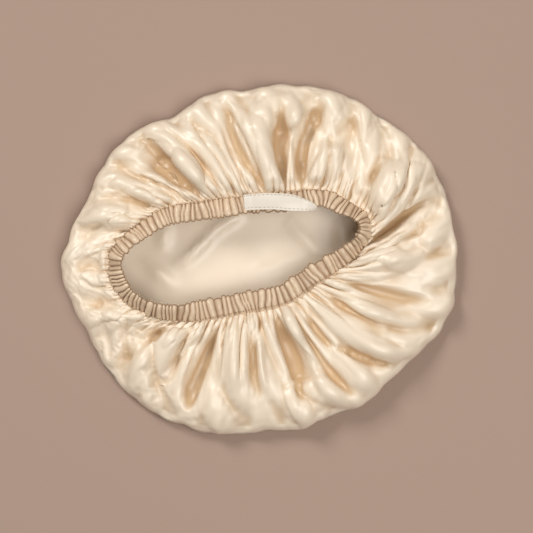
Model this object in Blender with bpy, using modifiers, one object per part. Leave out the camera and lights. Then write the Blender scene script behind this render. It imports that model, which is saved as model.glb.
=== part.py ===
"""A satin sleep bonnet laid open on a table, with its gathered mouth facing up.

The crown is one round piece of satin. It lies flat on the table, folds over at
the rim and runs back in to the mouth, where it is gathered into a ruched
elastic casing. A blank folded label lies on the casing.
Units are metres, +Z is up, and the origin is on the table under the middle.
"""
import math

import bmesh
import bpy
from mathutils import Vector

MM = 0.001

# Rim, where the cloth folds over
RIM_LENGTH = 356 * MM
RIM_DEPTH = 315 * MM
RIM_ROLL_HEIGHT = 9 * MM

# Puff of the upper side above the table
PUFF_HEIGHT = 31 * MM
CLOTH_WALL = 1.5 * MM

# Mouth, measured along the middle of the casing
MOUTH_LENGTH = 229 * MM
MOUTH_DEPTH = 93 * MM
MOUTH_SHIFT_X = -22 * MM
MOUTH_SHIFT_Y = 5 * MM
MOUTH_TILT_DEG = 11.5

# Ruched casing over the elastic
CASING_WIDTH = 20.5 * MM
CASING_THICKNESS = 5 * MM
SEAM_HEIGHT = 25 * MM
GATHER_COUNT = 48
COLUMNS_PER_GATHER = 3
GATHER_SWELL_SHARE = 0.28
SCALLOP_SHARE = 0.05
SEAM_PUCKER = 2.4 * MM
SEAM_APPROACH = 5 * MM

# Blank label folded over the casing
LABEL_LENGTH = 68 * MM
LABEL_WIDTH = 17 * MM
LABEL_THICKNESS = 1.2 * MM
LABEL_TIP_SLANT = 9 * MM
LABEL_SHIFT_TO_FREE_EDGE = 1.2 * MM
LABEL_TIP_WAY_SHARE = 0.098

# Clearance between pieces that meet
PIECE_GAP = 0.3 * MM

COLUMN_COUNT = GATHER_COUNT * COLUMNS_PER_GATHER
STEPS_PER_COLUMN = 8
LABEL_STATIONS = 16

# Rim outline: angle round the bonnet, and reach as a share of the rim oval
RIM_ROWS = [
    {"angle": 0, "reach": 1.005},
    {"angle": 12, "reach": 1.01},
    {"angle": 24, "reach": 1.025},
    {"angle": 35, "reach": 1.04},
    {"angle": 48, "reach": 1.025},
    {"angle": 60, "reach": 1.04},
    {"angle": 80, "reach": 1.02},
    {"angle": 93, "reach": 0.98},
    {"angle": 106, "reach": 0.985},
    {"angle": 122, "reach": 0.935},
    {"angle": 134, "reach": 0.975},
    {"angle": 146, "reach": 0.97},
    {"angle": 160, "reach": 0.95},
    {"angle": 173, "reach": 0.975},
    {"angle": 182, "reach": 1.015},
    {"angle": 197, "reach": 0.98},
    {"angle": 210, "reach": 0.99},
    {"angle": 226, "reach": 1.03},
    {"angle": 246, "reach": 1.04},
    {"angle": 262, "reach": 1.02},
    {"angle": 275, "reach": 0.99},
    {"angle": 284, "reach": 1.005},
    {"angle": 294, "reach": 0.97},
    {"angle": 306, "reach": 0.99},
    {"angle": 318, "reach": 0.955},
    {"angle": 332, "reach": 0.99},
    {"angle": 346, "reach": 1.02},
]

# Casing: angle round the mouth oval, reach as a share of that oval, and how
# steeply the band stands
CASING_ROWS = [
    {"angle": 0, "reach": 1.04, "lean": 57},
    {"angle": 14, "reach": 1.04, "lean": 52},
    {"angle": 28, "reach": 1.02, "lean": 40},
    {"angle": 44, "reach": 1.05, "lean": 33},
    {"angle": 56, "reach": 0.97, "lean": 22},
    {"angle": 68, "reach": 0.925, "lean": 25},
    {"angle": 88, "reach": 0.925, "lean": 30},
    {"angle": 102, "reach": 0.99, "lean": 16},
    {"angle": 114, "reach": 1.08, "lean": 30},
    {"angle": 130, "reach": 1.035, "lean": 42},
    {"angle": 150, "reach": 1.01, "lean": 46},
    {"angle": 170, "reach": 0.945, "lean": 50},
    {"angle": 188, "reach": 0.93, "lean": 46},
    {"angle": 208, "reach": 0.965, "lean": 50},
    {"angle": 228, "reach": 1.025, "lean": 52},
    {"angle": 242, "reach": 1.05, "lean": 36},
    {"angle": 256, "reach": 1.01, "lean": 12},
    {"angle": 272, "reach": 0.99, "lean": 6},
    {"angle": 287, "reach": 1.03, "lean": 14},
    {"angle": 300, "reach": 0.955, "lean": 8},
    {"angle": 311, "reach": 0.925, "lean": 14},
    {"angle": 328, "reach": 0.96, "lean": 24},
    {"angle": 346, "reach": 1.01, "lean": 56},
]

# Cross-section of the casing: shares of its half width and half thickness.
# The first point is the sewn edge, and the fifth one is the free edge.
CASING_SECTION = [
    {"across": 1.0, "up": 0.0},
    {"across": 0.86, "up": 0.85},
    {"across": 0.0, "up": 1.0},
    {"across": -0.86, "up": 0.85},
    {"across": -1.0, "up": 0.0},
    {"across": -0.86, "up": -0.85},
    {"across": 0.0, "up": -1.0},
    {"across": 0.86, "up": -0.85},
]

# How the cloth fans out: way round the casing as a share of its length, and
# the rim angle that the cloth gathered there runs out to
FAN_ROWS = [
    {"way": 0.00, "rim_angle": 39},
    {"way": 0.11, "rim_angle": 64},
    {"way": 0.17, "rim_angle": 92},
    {"way": 0.24, "rim_angle": 117},
    {"way": 0.31, "rim_angle": 142},
    {"way": 0.38, "rim_angle": 162},
    {"way": 0.45, "rim_angle": 178},
    {"way": 0.52, "rim_angle": 191},
    {"way": 0.59, "rim_angle": 208},
    {"way": 0.66, "rim_angle": 229},
    {"way": 0.72, "rim_angle": 252},
    {"way": 0.78, "rim_angle": 283},
    {"way": 0.83, "rim_angle": 311},
    {"way": 0.88, "rim_angle": 344},
    {"way": 0.94, "rim_angle": 374},
    {"way": 1.00, "rim_angle": 399},
]

# Underside, from the middle out: share of the rim's reach, and height as a
# share of the rim's roll
UNDERSIDE_ROWS = [
    {"reach": 0.34, "rise": 0.0},
    {"reach": 0.68, "rise": 0.0},
    {"reach": 0.90, "rise": 0.0},
    {"reach": 0.965, "rise": 0.22},
    {"reach": 0.993, "rise": 0.60},
    {"reach": 1.0, "rise": 1.0},
]

# Upper side, from the rim in to the last pucker before the seam: way in, and
# height as a share of the puff
UPPER_ROWS = [
    {"way_in": 0.025, "rise": 0.46},
    {"way_in": 0.09, "rise": 0.63},
    {"way_in": 0.19, "rise": 0.77},
    {"way_in": 0.32, "rise": 0.90},
    {"way_in": 0.46, "rise": 0.98},
    {"way_in": 0.60, "rise": 1.0},
    {"way_in": 0.74, "rise": 0.98},
    {"way_in": 0.88, "rise": 0.96},
    {"way_in": 1.0, "rise": 0.94},
]
SEAM_BLEND_START = 0.70
PUCKER_START = 0.40
PUCKER_VALLEY_SHARE = 0.2

# How fast a fold grows at its rim end and dies away at its seam end
FOLD_START_SHARE = 0.35
FOLD_GROWTH = 5.0
FOLD_DECAY = 3.0

# Main folds of the upper side. Each runs from a rim angle to a way round the
# casing, is a ridge (+) or a valley (-) by a share of the height there, and
# has a half width in degrees and the stretch of the way in that it takes up.
FOLD_ROWS = [
    {"rim": 101, "way": 0.186, "lift": -0.34, "half": 4.5, "from": 0.05, "to": 1.0},
    {"rim": 93, "way": 0.175, "lift": 0.12, "half": 7, "from": 0.1, "to": 0.9},
    {"rim": 79, "way": 0.157, "lift": -0.26, "half": 4, "from": 0.1, "to": 1.0},
    {"rim": 71, "way": 0.143, "lift": 0.18, "half": 5, "from": 0.0, "to": 0.95},
    {"rim": 64, "way": 0.128, "lift": -0.30, "half": 4, "from": 0.12, "to": 1.0},
    {"rim": 53, "way": 0.10, "lift": -0.28, "half": 5, "from": 0.2, "to": 0.6},
    {"rim": 44, "way": 0.05, "lift": -0.22, "half": 4.5, "from": 0.15, "to": 0.8},
    {"rim": 31, "way": 0.00, "lift": 0.32, "half": 7, "from": 0.0, "to": 1.0},
    {"rim": 20, "way": 0.955, "lift": -0.34, "half": 4.5, "from": 0.05, "to": 0.95},
    {"rim": 6, "way": 0.925, "lift": 0.14, "half": 7, "from": 0.1, "to": 0.9},
    {"rim": 350, "way": 0.89, "lift": -0.28, "half": 4.5, "from": 0.1, "to": 1.0},
    {"rim": 339, "way": 0.865, "lift": -0.34, "half": 4, "from": 0.05, "to": 1.0},
    {"rim": 326, "way": 0.85, "lift": 0.20, "half": 8, "from": 0.0, "to": 0.8},
    {"rim": 313, "way": 0.832, "lift": -0.24, "half": 4, "from": 0.1, "to": 1.0},
    {"rim": 305, "way": 0.812, "lift": -0.30, "half": 3.5, "from": 0.0, "to": 0.9},
    {"rim": 293, "way": 0.80, "lift": 0.14, "half": 5, "from": 0.1, "to": 1.0},
    {"rim": 282, "way": 0.783, "lift": -0.36, "half": 4.5, "from": 0.0, "to": 1.0},
    {"rim": 276, "way": 0.768, "lift": 0.18, "half": 3.5, "from": 0.1, "to": 1.0},
    {"rim": 268, "way": 0.75, "lift": -0.16, "half": 4, "from": 0.3, "to": 1.0},
    {"rim": 257, "way": 0.73, "lift": 0.10, "half": 6, "from": 0.0, "to": 0.7},
    {"rim": 246, "way": 0.708, "lift": -0.28, "half": 4.5, "from": 0.05, "to": 1.0},
    {"rim": 236, "way": 0.69, "lift": -0.20, "half": 4, "from": 0.1, "to": 1.0},
    {"rim": 225, "way": 0.65, "lift": 0.18, "half": 5, "from": 0.0, "to": 1.0},
    {"rim": 216, "way": 0.625, "lift": -0.28, "half": 4, "from": 0.05, "to": 0.95},
    {"rim": 202, "way": 0.585, "lift": 0.16, "half": 6, "from": 0.0, "to": 0.8},
    {"rim": 190, "way": 0.55, "lift": -0.26, "half": 4.5, "from": 0.0, "to": 0.9},
    {"rim": 178, "way": 0.47, "lift": -0.30, "half": 5, "from": 0.2, "to": 0.9},
    {"rim": 166, "way": 0.42, "lift": 0.20, "half": 5, "from": 0.0, "to": 0.9},
    {"rim": 157, "way": 0.36, "lift": -0.24, "half": 4, "from": 0.1, "to": 1.0},
    {"rim": 149, "way": 0.33, "lift": 0.18, "half": 4, "from": 0.0, "to": 1.0},
    {"rim": 143, "way": 0.313, "lift": -0.32, "half": 4, "from": 0.05, "to": 1.0},
    {"rim": 133, "way": 0.293, "lift": -0.30, "half": 4.5, "from": 0.1, "to": 1.0},
    {"rim": 123, "way": 0.265, "lift": 0.22, "half": 5, "from": 0.0, "to": 1.0},
    {"rim": 114, "way": 0.22, "lift": 0.12, "half": 5, "from": 0.1, "to": 1.0},
]


def blend(start, end, share):
    """Straight mix of two values."""
    return start + (end - start) * share


def smooth(share):
    """Ease a share from 0 to 1 in and out."""
    share = min(1.0, max(0.0, share))
    return share * share * (3.0 - 2.0 * share)


def read_round(rows, column, angle):
    """Value of a column at an angle, eased between the rows and closed at 360."""
    angle = angle % 360.0
    closed = rows + [{**rows[0], "angle": rows[0]["angle"] + 360}]
    for low, high in zip(closed, closed[1:]):
        if low["angle"] <= angle <= high["angle"]:
            share = (angle - low["angle"]) / (high["angle"] - low["angle"])
            return blend(low[column], high[column], smooth(share))
    return rows[0][column]


def fan_angle(way):
    """Rim angle that the cloth gathered at this way round the casing runs to."""
    turns = math.floor(way)
    way = way - turns
    for low, high in zip(FAN_ROWS, FAN_ROWS[1:]):
        if low["way"] <= way <= high["way"]:
            share = (way - low["way"]) / (high["way"] - low["way"])
            return blend(low["rim_angle"], high["rim_angle"], share) + 360.0 * turns
    return FAN_ROWS[-1]["rim_angle"] + 360.0 * turns


def degrees_between(first, second):
    """Signed difference of two angles, from -180 to 180."""
    return (first - second + 180.0) % 360.0 - 180.0


def rim_outline(angle):
    """Point in plan on the rim outline, seen from the middle of its oval."""
    turn = math.radians(angle)
    half_length = RIM_LENGTH / 2
    half_depth = RIM_DEPTH / 2
    oval = 1.0 / math.hypot(math.cos(turn) / half_length, math.sin(turn) / half_depth)
    reach = oval * read_round(RIM_ROWS, "reach", angle)
    return Vector((reach * math.cos(turn), reach * math.sin(turn), 0.0))


def middle_of_outline():
    """Middle of the box round the rim outline."""
    points = [rim_outline(angle) for angle in range(360)]
    across = [point.x for point in points]
    along = [point.y for point in points]
    return Vector((min(across) + max(across), min(along) + max(along), 0.0)) / 2


OUTLINE_MIDDLE = middle_of_outline()


def rim_point(angle, share=1.0):
    """Point in plan on the centred rim, or at a share of its reach."""
    return (rim_outline(angle) - OUTLINE_MIDDLE) * share


def mouth_point(angle):
    """Point in plan on the middle line of the casing."""
    turn = math.radians(angle)
    tilt = math.radians(MOUTH_TILT_DEG)
    reach = read_round(CASING_ROWS, "reach", angle)
    along = MOUTH_LENGTH / 2 * math.cos(turn) * reach
    across = MOUTH_DEPTH / 2 * math.sin(turn) * reach
    x = MOUTH_SHIFT_X + along * math.cos(tilt) - across * math.sin(tilt)
    y = MOUTH_SHIFT_Y + along * math.sin(tilt) + across * math.cos(tilt)
    return Vector((x, y, 0.0))


def even_mouth_angles(count):
    """Angles round the mouth oval that cut the casing into equal lengths."""
    steps = count * STEPS_PER_COLUMN
    angles = [360.0 * step / steps for step in range(steps + 1)]
    points = [mouth_point(angle) for angle in angles]
    lengths = [0.0]
    for start, end in zip(points, points[1:]):
        lengths.append(lengths[-1] + (end - start).length)
    even = []
    step = 0
    for number in range(count):
        wanted = lengths[-1] * number / count
        while lengths[step + 1] < wanted:
            step += 1
        share = (wanted - lengths[step]) / (lengths[step + 1] - lengths[step])
        even.append(blend(angles[step], angles[step + 1], share))
    return even


MOUTH_ANGLES = even_mouth_angles(COLUMN_COUNT)


def gather_wave(column):
    """1 on the crest of a gather and 0 in its valley."""
    return 0.5 + 0.5 * math.cos(2 * math.pi * column / COLUMNS_PER_GATHER)


def casing_frame(column):
    """Middle of the casing at a column, with its across and up directions."""
    middle = mouth_point(MOUTH_ANGLES[column % COLUMN_COUNT])
    before = mouth_point(MOUTH_ANGLES[(column - 2) % COLUMN_COUNT])
    after = mouth_point(MOUTH_ANGLES[(column + 2) % COLUMN_COUNT])
    along = (after - before).normalized()
    outward = Vector((along.y, -along.x, 0.0))
    lean = math.radians(read_round(CASING_ROWS, "lean", MOUTH_ANGLES[column % COLUMN_COUNT]))
    across = outward * math.cos(lean) - Vector((0, 0, math.sin(lean)))
    up = outward * math.sin(lean) + Vector((0, 0, math.cos(lean)))
    middle.z = SEAM_HEIGHT + CASING_WIDTH / 2 * math.sin(lean)
    return middle, across, up


def casing_ring(column):
    """Cross-section of the casing at a column."""
    middle, across, up = casing_frame(column)
    swell = 1.0 + GATHER_SWELL_SHARE * (2.0 * gather_wave(column) - 1.0)
    spread = 1.0 + SCALLOP_SHARE * (gather_wave(column) - 1.0)
    ring = []
    for row in CASING_SECTION:
        sideways = across * (CASING_WIDTH / 2 * spread * row["across"])
        upwards = up * (CASING_THICKNESS / 2 * swell * row["up"])
        ring.append(middle + sideways + upwards)
    return ring


def seam_point(column):
    """Where the crown's edge butts against the casing, and the way out from it."""
    middle, across, up = casing_frame(column)
    outward = Vector((across.x + up.x, across.y + up.y, 0.0)).normalized()
    furthest = max(casing_ring(column), key=lambda point: (point - middle).dot(outward))
    seam = furthest + outward * PIECE_GAP
    seam.z = furthest.z + CLOTH_WALL / 2
    return seam, outward


def fold_share(rim_angle, way_in):
    """Rise or dip of the main folds, as a share of the height there."""
    total = 0.0
    for fold in FOLD_ROWS:
        if not fold["from"] <= way_in <= fold["to"]:
            continue
        seam_angle = fan_angle(fold["way"])
        turn = degrees_between(seam_angle, fold["rim"])
        middle_angle = fold["rim"] + turn * way_in
        distance = degrees_between(rim_angle, middle_angle) / fold["half"]
        stretch = (way_in - fold["from"]) / (fold["to"] - fold["from"])
        grown = smooth(FOLD_START_SHARE + stretch * FOLD_GROWTH)
        window = grown * smooth((1.0 - stretch) * FOLD_DECAY)
        total += fold["lift"] * window * math.exp(-distance * distance)
    return total


def upper_point(column, way_in, rise):
    """Point of the upper side on a column's line from the rim to the last pucker."""
    rim_angle = fan_angle(column / COLUMN_COUNT)
    seam, outward = seam_point(column)
    last = seam + outward * SEAM_APPROACH
    place = rim_point(rim_angle).lerp(Vector((last.x, last.y, 0.0)), way_in)
    puffed = PUFF_HEIGHT * rise * (1.0 + fold_share(rim_angle, way_in))
    to_seam = smooth((way_in - SEAM_BLEND_START) / (1.0 - SEAM_BLEND_START))
    gathered = smooth((way_in - PUCKER_START) / (1.0 - PUCKER_START))
    pucker = SEAM_PUCKER * (PUCKER_VALLEY_SHARE + gather_wave(column)) * gathered
    place.z = blend(puffed, seam.z, to_seam) + pucker
    return place


def satin(name, colour, roughness, sheen):
    """Shiny cloth of one colour."""
    material = bpy.data.materials.new(name)
    material.use_nodes = True
    shader = material.node_tree.nodes["Principled BSDF"]
    shader.inputs["Base Color"].default_value = (*colour, 1.0)
    shader.inputs["Roughness"].default_value = roughness
    shader.inputs["Metallic"].default_value = 0.0
    shader.inputs["Sheen Weight"].default_value = sheen
    material.diffuse_color = (*colour, 1.0)
    return material


def add_piece(name, work, material, collection):
    """Turn a bmesh into a named, smooth-shaded object."""
    mesh = bpy.data.meshes.new(name)
    work.normal_update()
    work.to_mesh(mesh)
    work.free()
    mesh.materials.append(material)
    mesh.shade_smooth()
    piece = bpy.data.objects.new(name, mesh)
    collection.objects.link(piece)
    return piece


def bridge(work, lower, upper, closed):
    """Faces between two rows of vertices."""
    count = len(lower)
    steps = count if closed else count - 1
    for number in range(steps):
        after = (number + 1) % count
        work.faces.new((lower[number], lower[after], upper[after], upper[number]))


def add_wall(piece, thickness, offset):
    """Give an open sheet of cloth its thickness."""
    wall = piece.modifiers.new("wall", "SOLIDIFY")
    wall.thickness = thickness
    wall.offset = offset


def make_crown(material, collection):
    """One sheet: flat underside, rolled rim, folded upper side up to the seam."""
    work = bmesh.new()
    centre = work.verts.new((0.0, 0.0, 0.0))
    rings = []
    angles = [fan_angle(column / COLUMN_COUNT) for column in range(COLUMN_COUNT)]
    for row in UNDERSIDE_ROWS:
        ring = []
        for angle in angles:
            place = rim_point(angle, row["reach"])
            place.z = RIM_ROLL_HEIGHT * row["rise"]
            ring.append(work.verts.new(place))
        rings.append(ring)
    for row in UPPER_ROWS:
        ring = []
        for column in range(COLUMN_COUNT):
            place = upper_point(column, row["way_in"], row["rise"])
            ring.append(work.verts.new(place))
        rings.append(ring)
    rings.append([work.verts.new(seam_point(column)[0]) for column in range(COLUMN_COUNT)])
    for number in range(COLUMN_COUNT):
        after = (number + 1) % COLUMN_COUNT
        work.faces.new((centre, rings[0][after], rings[0][number]))
    for inner, outer in zip(rings, rings[1:]):
        bridge(work, inner, outer, closed=True)
    crown = add_piece("crown", work, material, collection)
    add_wall(crown, CLOTH_WALL, -1.0)


def make_casing(material, collection):
    """Ruched band: one closed ring swept along the mouth."""
    work = bmesh.new()
    rings = []
    for column in range(COLUMN_COUNT):
        rings.append([work.verts.new(place) for place in casing_ring(column)])
    for number, ring in enumerate(rings):
        bridge(work, rings[(number + 1) % COLUMN_COUNT], ring, closed=True)
    add_piece("elastic_casing", work, material, collection)


def label_place(way, across_share):
    """Point of the label's middle layer over the casing."""
    column = way * COLUMN_COUNT
    low = math.floor(column)
    share = column - low
    middle, across, up = casing_frame(low)
    next_middle, next_across, next_up = casing_frame(low + 1)
    middle = middle.lerp(next_middle, share)
    across = across.lerp(next_across, share).normalized()
    up = up.lerp(next_up, share).normalized()
    crest = CASING_THICKNESS / 2 * (1.0 + GATHER_SWELL_SHARE)
    lift = crest + PIECE_GAP + LABEL_THICKNESS / 2
    sideways = LABEL_WIDTH / 2 * across_share - LABEL_SHIFT_TO_FREE_EDGE
    return middle + across * sideways + up * lift


def make_label(material, collection):
    """Folded strip that lies along the casing, with one slanted end."""
    points = [mouth_point(angle) for angle in MOUTH_ANGLES]
    steps = [(point - before).length for before, point in zip(points[-1:] + points[:-1], points)]
    casing_length = sum(steps)
    way_length = LABEL_LENGTH / casing_length
    slant = LABEL_TIP_SLANT / casing_length
    work = bmesh.new()
    rows = []
    for across_share in (-1.0, 0.0, 1.0):
        tip = LABEL_TIP_WAY_SHARE + slant * (across_share + 1.0) / 2
        end = LABEL_TIP_WAY_SHARE + way_length
        row = []
        for station in range(LABEL_STATIONS + 1):
            way = blend(tip, end, station / LABEL_STATIONS)
            row.append(work.verts.new(label_place(way, across_share)))
        rows.append(row)
    for first, second in zip(rows, rows[1:]):
        bridge(work, second, first, closed=False)
    label = add_piece("label", work, material, collection)
    add_wall(label, LABEL_THICKNESS, 0.0)


def main():
    """Clear the scene and build the bonnet."""
    for old in list(bpy.data.objects):
        bpy.data.objects.remove(old, do_unlink=True)
    collection = bpy.data.collections.new("sleep_bonnet")
    bpy.context.scene.collection.children.link(collection)
    champagne = satin("champagne_satin", (0.83, 0.69, 0.50), 0.34, 0.2)
    ruched = satin("ruched_satin", (0.78, 0.63, 0.44), 0.38, 0.2)
    ivory = satin("ivory_label", (0.90, 0.86, 0.78), 0.42, 0.1)
    make_crown(champagne, collection)
    make_casing(ruched, collection)
    make_label(ivory, collection)


main()
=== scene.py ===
# %% [markdown]
# # A satin sleep bonnet, lying open
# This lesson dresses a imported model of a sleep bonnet. The real one is a round piece of
# champagne satin. It lies open on a flat surface: the cloth runs out to the rim, folds over, and
# comes back in to a ruched casing over elastic. A blank tab lies on the casing.
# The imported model, called the frame here, is loaded first, and the new pieces are made around it.

# %% Load the frame
import math

import bpy
import numpy as np
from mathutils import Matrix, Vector


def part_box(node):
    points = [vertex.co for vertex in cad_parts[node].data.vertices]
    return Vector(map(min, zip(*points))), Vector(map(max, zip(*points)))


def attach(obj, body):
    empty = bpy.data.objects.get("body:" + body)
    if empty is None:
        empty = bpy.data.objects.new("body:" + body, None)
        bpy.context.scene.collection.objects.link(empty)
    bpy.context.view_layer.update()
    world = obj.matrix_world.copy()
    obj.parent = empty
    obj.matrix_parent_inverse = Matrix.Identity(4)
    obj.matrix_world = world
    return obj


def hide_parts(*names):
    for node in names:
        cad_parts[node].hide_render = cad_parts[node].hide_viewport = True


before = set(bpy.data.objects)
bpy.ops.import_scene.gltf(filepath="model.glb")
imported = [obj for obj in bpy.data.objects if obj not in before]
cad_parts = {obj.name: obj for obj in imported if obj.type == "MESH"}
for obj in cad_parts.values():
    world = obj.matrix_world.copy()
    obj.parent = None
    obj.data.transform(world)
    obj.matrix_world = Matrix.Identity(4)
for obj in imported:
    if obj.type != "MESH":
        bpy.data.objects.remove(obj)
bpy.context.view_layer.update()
print("frame nodes", sorted(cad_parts))

# %% [markdown]
# ## Camera
# The photograph looks straight down. A long lens from well above keeps the rim and the mouth
# in the same proportion as there. The bonnet sits a little left of the middle and above it, so
# the camera stands a few millimetres to the right and to the front.

# %% Camera looking straight down
PICTURE_WIDTH = 0.478
CAMERA_HEIGHT = 1.6
CAMERA_SHIFT_X = 0.0066
CAMERA_SHIFT_Y = -0.0064
SENSOR_WIDTH = 36.0
AIM_HEIGHT = 0.02


def add_object(name, data):
    """An object for the data, linked to the scene."""
    thing = bpy.data.objects.new(name, data)
    bpy.context.scene.collection.objects.link(thing)
    return thing


camera_data = bpy.data.cameras.new("camera")
camera_data.sensor_width = SENSOR_WIDTH
camera_data.lens = SENSOR_WIDTH * (CAMERA_HEIGHT - AIM_HEIGHT) / PICTURE_WIDTH
camera = add_object("camera", camera_data)
camera.location = (CAMERA_SHIFT_X, CAMERA_SHIFT_Y, CAMERA_HEIGHT)
bpy.context.scene.camera = camera
print("lens", round(camera_data.lens, 1), "mm")

# %% [markdown]
# ## Floor and light
# A plain floor in a pale warm tone lies just under the cloth. The light of the photograph is
# soft and comes from above: a key lamp at the upper left gives the satin its long highlights, a
# larger lamp at the lower right lights the other side, and a dim warm sky fills the hollows.

# %% Floor
FLOOR_SIZE = 6.0
FLOOR_DROP = 0.0004
FLOOR_FINISH = {"Base Color": (0.435, 0.319, 0.258, 1.0), "Roughness": 0.9, "Specular IOR Level": 0.15}


def add_material(name, finish):
    """A material whose shader inputs are set by their names."""
    material = bpy.data.materials.new(name)
    material.use_nodes = True
    shader = material.node_tree.nodes["Principled BSDF"]
    for socket, value in finish.items():
        shader.inputs[socket].default_value = value
    return material


floor_mesh = bpy.data.meshes.new("floor")
half_floor = FLOOR_SIZE / 2
corner_signs = [(-1, -1), (1, -1), (1, 1), (-1, 1)]
floor_corners = [(half_floor * x, half_floor * y, -FLOOR_DROP) for x, y in corner_signs]
floor_mesh.from_pydata(floor_corners, [], [(0, 1, 2, 3)])
floor = add_object("floor", floor_mesh)
floor_mesh.materials.append(add_material("floor_paint", FLOOR_FINISH))
print("floor is", FLOOR_SIZE, "m wide")

# %% Lamps
LAMP_ROWS = [
    ("key_lamp", (-1.6, 1.9, 2.3), 1.1, 60.0, (1.0, 0.98, 0.955)),
    ("fill_lamp", (1.0, -0.6, 2.7), 2.0, 54.0, (1.0, 0.975, 0.95)),
]
SKY_TONE = (1.0, 0.88, 0.74, 1.0)
SKY_STRENGTH = 0.14


def add_lamp(name, place, size, power, colour):
    """A square soft lamp that points at the bonnet."""
    lamp_data = bpy.data.lights.new(name, "AREA")
    lamp_data.shape = "SQUARE"
    lamp_data.size = size
    lamp_data.energy = power
    lamp_data.color = colour
    lamp = add_object(name, lamp_data)
    lamp.location = place
    lamp.rotation_euler = (-Vector(place)).to_track_quat("-Z", "Y").to_euler()
    print(name, "of", power, "W")


for lamp_row in LAMP_ROWS:
    add_lamp(*lamp_row)
sky = bpy.data.worlds.new("sky")
sky.use_nodes = True
sky.node_tree.nodes["Background"].inputs["Color"].default_value = SKY_TONE
sky.node_tree.nodes["Background"].inputs["Strength"].default_value = SKY_STRENGTH
bpy.context.scene.world = sky
bpy.context.scene.view_settings.view_transform = "Standard"

# %% [markdown]
# ## The outlines
# Two closed lines carry the whole bonnet: the rim, where the satin folds over, and the mouth,
# where it is gathered. Each is an oval with a short table that pushes it in or out. Straight
# mixes between the rows would show as corners, so a smooth curve is run through them.

# %% Reading a table all the way round
def ease(share):
    """Ease a share from 0 to 1 in and out."""
    share = np.clip(share, 0.0, 1.0)
    return share * share * (3.0 - 2.0 * share)


def mix(start, end, share):
    """Straight mix of two values."""
    return start + (end - start) * share


def unit(vectors):
    """Vectors brought to length one."""
    return vectors / np.maximum(np.linalg.norm(vectors, axis=-1, keepdims=True), 1e-12)


def named_rows(columns, rows):
    """Rows of a table as dictionaries, by the names of its columns."""
    return [dict(zip(columns, row)) for row in rows]


def read_round(rows, column, angles):
    """Values of a column at angles in degrees, on a smooth closed curve through the rows."""
    count = len(rows)
    marks = np.array([row["angle"] for row in rows] + [rows[0]["angle"] + 360.0])
    values = np.array([row[column] for row in rows])
    turned = np.mod(np.asarray(angles) - marks[0], 360.0) + marks[0]
    place = np.clip(np.searchsorted(marks, turned, side="right") - 1, 0, count - 1)
    share = (turned - marks[place]) / (marks[place + 1] - marks[place])
    before, here, after, beyond = (values[(place + step) % count] for step in (-1, 0, 1, 2))
    bend = 2 * before - 5 * here + 4 * after - beyond
    twist = 3 * here - before - 3 * after + beyond
    return here + 0.5 * share * (after - before + share * (bend + share * twist))


print("a share of 0.25 eases to", round(float(ease(0.25)), 3))

# %% Rim outline
RIM_ROWS = named_rows(("angle", "reach"), [
    (0, 1.005), (12, 1.01), (24, 1.025), (35, 1.04), (48, 1.025), (60, 1.04),
    (80, 1.02), (93, 0.98), (106, 0.985), (122, 0.935), (134, 0.975),
    (146, 0.97), (160, 0.95), (173, 0.975), (182, 1.015), (197, 0.98),
    (210, 0.99), (226, 1.03), (246, 1.04), (262, 1.02), (275, 0.99),
    (284, 1.005), (294, 0.97), (306, 0.99), (318, 0.955), (332, 0.99),
    (346, 1.02),
])
crown_low, crown_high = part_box("crown")
crown_size = crown_high - crown_low


def raw_rim(angles):
    """Rim outline for an oval of the crown's length and depth, not yet fitted."""
    turn = np.radians(angles)
    oval = 1.0 / np.hypot(np.cos(turn) / crown_size.x, np.sin(turn) / crown_size.y)
    reach = oval * read_round(RIM_ROWS, "reach", angles)
    return np.stack([reach * np.cos(turn), reach * np.sin(turn)], axis=-1)


RAW_OUTLINE = raw_rim(np.arange(360.0))
RAW_LOW = RAW_OUTLINE.min(axis=0)
RAW_HIGH = RAW_OUTLINE.max(axis=0)


def rim_line(angles):
    """Rim outline fitted to the crown's own box."""
    share = (raw_rim(angles) - RAW_LOW) / (RAW_HIGH - RAW_LOW)
    low = np.array([crown_low.x, crown_low.y])
    high = np.array([crown_high.x, crown_high.y])
    return low + share * (high - low)


print("rim", round(crown_size.x, 4), "by", round(crown_size.y, 4), "m")

# %% [markdown]
# ## The middle line of the casing
# The real mouth is a slanted oval that the elastic has pulled a little out of shape. Its casing is
# a band about 2 cm wide. It lies nearly flat at the front and stands almost on edge at both ends,
# so the table gives each place a reach and a lean. Everything near the mouth is placed by its way
# round this line, a share from 0 to 1 of its length, because gathers are spaced along the elastic.

# %% Middle line of the casing
MOUTH_LENGTH = 0.229
MOUTH_DEPTH = 0.093
MOUTH_SHIFT = (-0.022, 0.005)
MOUTH_TILT_DEG = 11.5
CASING_WIDTH = 0.0205
CASING_THICKNESS = 0.005
SEAM_HEIGHT = 0.025
HALF_STEP_DEG = 0.6
CASING_ROWS = named_rows(("angle", "reach", "lean"), [
    (0, 1.04, 57), (14, 1.04, 52), (28, 1.02, 40), (44, 1.05, 33),
    (56, 0.97, 22), (68, 0.925, 25), (88, 0.925, 30), (102, 0.99, 16),
    (114, 1.08, 30), (130, 1.035, 42), (150, 1.01, 46), (170, 0.945, 50),
    (188, 0.93, 46), (208, 0.965, 50), (228, 1.025, 52), (242, 1.05, 36),
    (256, 1.01, 12), (272, 0.99, 6), (287, 1.03, 14), (300, 0.955, 8),
    (311, 0.925, 14), (328, 0.96, 24), (346, 1.01, 56),
])


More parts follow.
